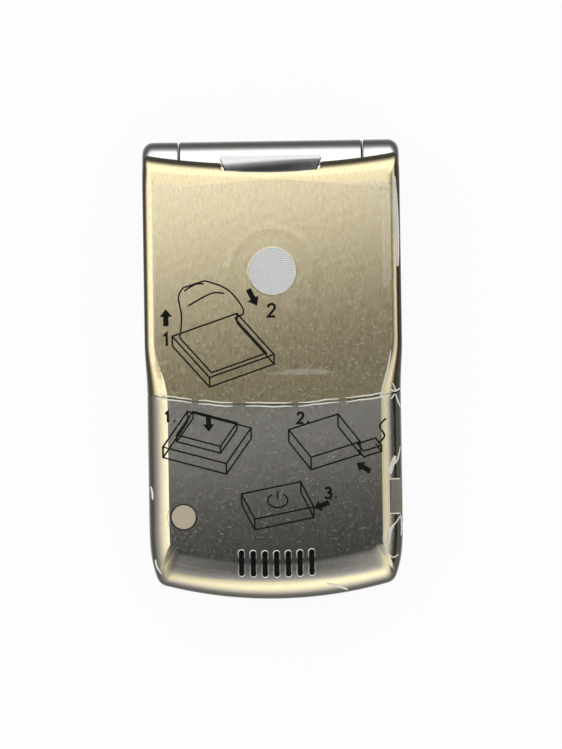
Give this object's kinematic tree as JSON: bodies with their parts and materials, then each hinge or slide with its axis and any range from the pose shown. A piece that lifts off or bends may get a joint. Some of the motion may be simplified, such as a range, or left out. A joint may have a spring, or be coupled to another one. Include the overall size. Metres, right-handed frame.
{
  "type": "flip phone",
  "caption": "Slim clamshell mobile phone, closed, with a gold battery cover, a rounded chin, a sprung cover latch, a hinged display half, pressing keys and clear protective films.",
  "frame": {"origin": "middle of the footprint, on the surface that the closed phone lies on", "axes": "+Z out of the back of the phone, which faces up; +Y towards the hinge; X across, with the data socket on +X"},
  "size_m": [0.054, 0.0964, 0.0145],
  "materials": {
    "gold_door": "brushed and gold anodised",
    "smoke_shell": "satin paint",
    "front_shell": "satin paint",
    "hinge_metal": "satin lacquer",
    "film": "clear thin film",
    "badge_metal": "fine lines",
    "latch_grey": "smooth",
    "dark_plastic": "matt",
    "black_lens": "polished",
    "key_metal": "satin",
    "steel": "bright",
    "board_green": "solder resist",
    "battery_wrap": "wrapped",
    "rubber_black": "matt",
    "web_rubber": "translucent",
    "plug_tan": "satin",
    "port_grey": "satin",
    "flex_amber": "polyimide"
  },
  "bodies": {
    "flip": {"flip_cover": "front_shell", "flip_bezel": "hinge_metal", "outer_lens": "black_lens", "outer_display": "dark_plastic", "camera_module": "black_lens", "camera_ring": "steel", "flip_board": "board_green", "inner_display": "dark_plastic", "inner_lens": "black_lens", "earpiece": "dark_plastic", "bumpers": "rubber_black", "hinge_shaft": "steel", "hinge_bush": "steel"},
    "keypad_half": {"rear_housing": "smoke_shell", "front_housing": "front_shell", "battery": "battery_wrap", "main_board": "board_green", "shield_cans": "steel", "sim_socket": "steel", "dome_sheet": "steel", "keypad_web": "web_rubber", "antenna": "dark_plastic", "loudspeaker": "dark_plastic", "speaker_mesh": "dark_plastic", "microphone": "steel", "rf_port_plug": "plug_tan", "usb_socket": "port_grey", "vibration_motor": "steel", "hinge_cartridge": "steel", "display_flex": "flex_amber", "housing_screws": "steel", "chin_film": "film"},
    "door": {"battery_door": "gold_door", "door_film": "film", "badge": "badge_metal"},
    "latch": {"door_latch": "latch_grey", "latch_spring": "steel"},
    "nav_ring": {"nav_ring": "key_metal"},
    "select_key": {"select_key": "key_metal"},
    "key_1": {"key_1": "key_metal"},
    "key_2": {"key_2": "key_metal"},
    "key_3": {"key_3": "key_metal"},
    "key_4": {"key_4": "key_metal"},
    "key_5": {"key_5": "key_metal"},
    "key_6": {"key_6": "key_metal"},
    "key_7": {"key_7": "key_metal"},
    "key_8": {"key_8": "key_metal"},
    "key_9": {"key_9": "key_metal"},
    "key_star": {"key_star": "key_metal"},
    "key_0": {"key_0": "key_metal"},
    "key_hash": {"key_hash": "key_metal"},
    "send_key": {"send_key": "key_metal"},
    "clear_key": {"clear_key": "key_metal"},
    "end_key": {"end_key": "key_metal"},
    "soft_left": {"soft_left": "key_metal"},
    "soft_right": {"soft_right": "key_metal"},
    "volume_rocker": {"volume_rocker": "key_metal"},
    "smart_key": {"smart_key": "key_metal"},
    "voice_key": {"voice_key": "key_metal"}
  },
  "joints": [
    {"name": "main_hinge", "type": "hinge", "parent": "flip", "child": "keypad_half", "pos_m": [0, 0.04345, 0.0067], "axis": [-1, 0, 0], "range_deg": [0, 165]},
    {"name": "door_hinge", "type": "hinge", "parent": "keypad_half", "child": "door", "pos_m": [0, -0.0073, 0.01438], "axis": [1, 0, 0], "range_deg": [0, 35]},
    {"name": "latch_slide", "type": "slide", "parent": "door", "child": "latch", "axis": [0, -1, 0], "range_m": [0, 0.0008], "stiffness_N_per_m": 200},
    {"name": "select_key_press", "type": "slide", "parent": "keypad_half", "child": "select_key", "axis": [0, 0, 1], "range_m": [0, 0.0002], "stiffness_N_per_m": 200},
    {"name": "key_1_press", "type": "slide", "parent": "keypad_half", "child": "key_1", "axis": [0, 0, 1], "range_m": [0, 0.0002], "stiffness_N_per_m": 200},
    {"name": "key_2_press", "type": "slide", "parent": "keypad_half", "child": "key_2", "axis": [0, 0, 1], "range_m": [0, 0.0002], "stiffness_N_per_m": 200},
    {"name": "key_3_press", "type": "slide", "parent": "keypad_half", "child": "key_3", "axis": [0, 0, 1], "range_m": [0, 0.0002], "stiffness_N_per_m": 200},
    {"name": "key_4_press", "type": "slide", "parent": "keypad_half", "child": "key_4", "axis": [0, 0, 1], "range_m": [0, 0.0002], "stiffness_N_per_m": 200},
    {"name": "key_5_press", "type": "slide", "parent": "keypad_half", "child": "key_5", "axis": [0, 0, 1], "range_m": [0, 0.0002], "stiffness_N_per_m": 200},
    {"name": "key_6_press", "type": "slide", "parent": "keypad_half", "child": "key_6", "axis": [0, 0, 1], "range_m": [0, 0.0002], "stiffness_N_per_m": 200},
    {"name": "key_7_press", "type": "slide", "parent": "keypad_half", "child": "key_7", "axis": [0, 0, 1], "range_m": [0, 0.0002], "stiffness_N_per_m": 200},
    {"name": "key_8_press", "type": "slide", "parent": "keypad_half", "child": "key_8", "axis": [0, 0, 1], "range_m": [0, 0.0002], "stiffness_N_per_m": 200},
    {"name": "key_9_press", "type": "slide", "parent": "keypad_half", "child": "key_9", "axis": [0, 0, 1], "range_m": [0, 0.0002], "stiffness_N_per_m": 200},
    {"name": "key_star_press", "type": "slide", "parent": "keypad_half", "child": "key_star", "axis": [0, 0, 1], "range_m": [0, 0.0002], "stiffness_N_per_m": 200},
    {"name": "key_0_press", "type": "slide", "parent": "keypad_half", "child": "key_0", "axis": [0, 0, 1], "range_m": [0, 0.0002], "stiffness_N_per_m": 200},
    {"name": "key_hash_press", "type": "slide", "parent": "keypad_half", "child": "key_hash", "axis": [0, 0, 1], "range_m": [0, 0.0002], "stiffness_N_per_m": 200},
    {"name": "send_key_press", "type": "slide", "parent": "keypad_half", "child": "send_key", "axis": [0, 0, 1], "range_m": [0, 0.0002], "stiffness_N_per_m": 200},
    {"name": "clear_key_press", "type": "slide", "parent": "keypad_half", "child": "clear_key", "axis": [0, 0, 1], "range_m": [0, 0.0002], "stiffness_N_per_m": 200},
    {"name": "end_key_press", "type": "slide", "parent": "keypad_half", "child": "end_key", "axis": [0, 0, 1], "range_m": [0, 0.0002], "stiffness_N_per_m": 200},
    {"name": "soft_left_press", "type": "slide", "parent": "keypad_half", "child": "soft_left", "axis": [0, 0, 1], "range_m": [0, 0.0002], "stiffness_N_per_m": 200},
    {"name": "soft_right_press", "type": "slide", "parent": "keypad_half", "child": "soft_right", "axis": [0, 0, 1], "range_m": [0, 0.0002], "stiffness_N_per_m": 200},
    {"name": "nav_ring_tilt", "type": "hinge", "parent": "keypad_half", "child": "nav_ring", "pos_m": [0, 0.02205, 0.0072], "axis": [1, 0, 0], "range_deg": [-0.7, 0.7], "stiffness_Nm_per_rad": 0.02},
    {"name": "volume_rock", "type": "hinge", "parent": "flip", "child": "volume_rocker", "pos_m": [0.0258, 0.02045, 0.004], "axis": [0, 0, 1], "range_deg": [-2, 2], "stiffness_Nm_per_rad": 0.005},
    {"name": "smart_key_press", "type": "slide", "parent": "flip", "child": "smart_key", "axis": [-1, 0, 0], "range_m": [0, 0.0003], "stiffness_N_per_m": 200},
    {"name": "voice_key_press", "type": "slide", "parent": "flip", "child": "voice_key", "axis": [1, 0, 0], "range_m": [0, 0.0003], "stiffness_N_per_m": 200}
  ]
}
